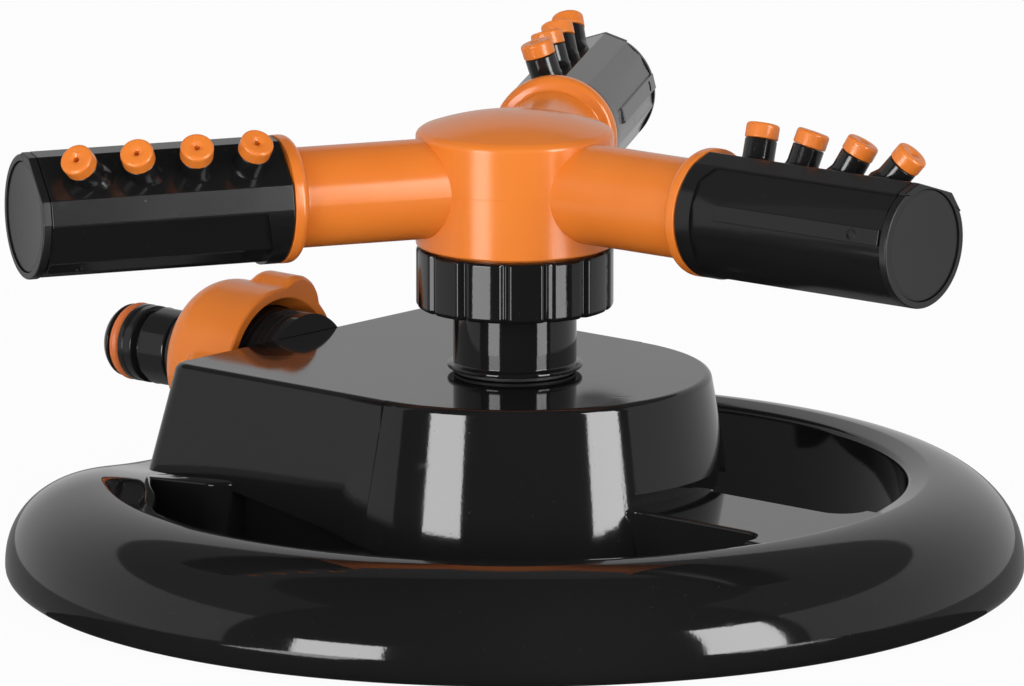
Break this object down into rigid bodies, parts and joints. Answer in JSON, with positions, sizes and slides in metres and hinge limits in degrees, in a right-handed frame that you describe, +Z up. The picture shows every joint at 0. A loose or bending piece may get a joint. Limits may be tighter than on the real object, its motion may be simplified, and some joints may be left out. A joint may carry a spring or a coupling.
{
  "type": "rotary sprinkler",
  "caption": "Garden rotary sprinkler: black ring foot with a hose inlet, and an orange three-armed head that spins on a riser and carries swivelling nozzle tubes",
  "frame": {"origin": "on the tower's axis, at the ground", "axes": "+Z up along the tower's axis; the inlet points to azimuth 138.5 degrees, counted from +X toward +Y"},
  "size_m": [0.225, 0.2265, 0.1103],
  "materials": {
    "black_plastic": "gloss",
    "orange_plastic": "satin",
    "orange_rubber": "satin",
    "seal_rubber": "matte"
  },
  "bodies": {
    "standing_part": {"base": "black_plastic", "riser_tube": "black_plastic", "riser_gasket": "seal_rubber", "inlet_elbow": "black_plastic", "riser_o_ring": "seal_rubber", "inlet_bush": "black_plastic", "hose_washer": "seal_rubber", "coupling_nut": "orange_plastic", "hose_nipple": "black_plastic", "nipple_o_ring": "orange_rubber"},
    "turning_head": {"rotor_head": "orange_plastic", "collar_nut": "black_plastic", "lower_thrust_washer": "seal_rubber", "upper_seal_washer": "seal_rubber"},
    "left_nozzles": {"nozzle_tube_left": "black_plastic", "end_cap_left": "black_plastic", "nozzle_tip_left_1": "orange_plastic", "nozzle_tip_left_2": "orange_plastic", "nozzle_tip_left_3": "orange_plastic", "nozzle_tip_left_4": "orange_plastic", "arm_o_ring_left": "seal_rubber"},
    "right_nozzles": {"nozzle_tube_right": "black_plastic", "end_cap_right": "black_plastic", "nozzle_tip_right_1": "orange_plastic", "nozzle_tip_right_2": "orange_plastic", "nozzle_tip_right_3": "orange_plastic", "nozzle_tip_right_4": "orange_plastic", "arm_o_ring_right": "seal_rubber"},
    "rear_nozzles": {"nozzle_tube_rear": "black_plastic", "end_cap_rear": "black_plastic", "nozzle_tip_rear_1": "orange_plastic", "nozzle_tip_rear_2": "orange_plastic", "nozzle_tip_rear_3": "orange_plastic", "nozzle_tip_rear_4": "orange_plastic", "arm_o_ring_rear": "seal_rubber"}
  },
  "joints": [
    {"name": "head_spin", "type": "hinge", "parent": "standing_part", "child": "turning_head", "pos_m": [0, 0, 0.0878], "axis": [0, 0, 1], "continuous": true},
    {"name": "left_tube_swivel", "type": "hinge", "parent": "turning_head", "child": "left_nozzles", "pos_m": [0, 0, 0.0878], "axis": [0.9367, 0.3502, 0], "range_deg": [-41, 49]},
    {"name": "right_tube_swivel", "type": "hinge", "parent": "turning_head", "child": "right_nozzles", "pos_m": [0, 0, 0.0878], "axis": [-0.7716, 0.6361, 0], "range_deg": [-18, 72]},
    {"name": "rear_tube_swivel", "type": "hinge", "parent": "turning_head", "child": "rear_nozzles", "pos_m": [0, 0, 0.0878], "axis": [-0.165, -0.9863, 0], "range_deg": [-17, 73]}
  ]
}
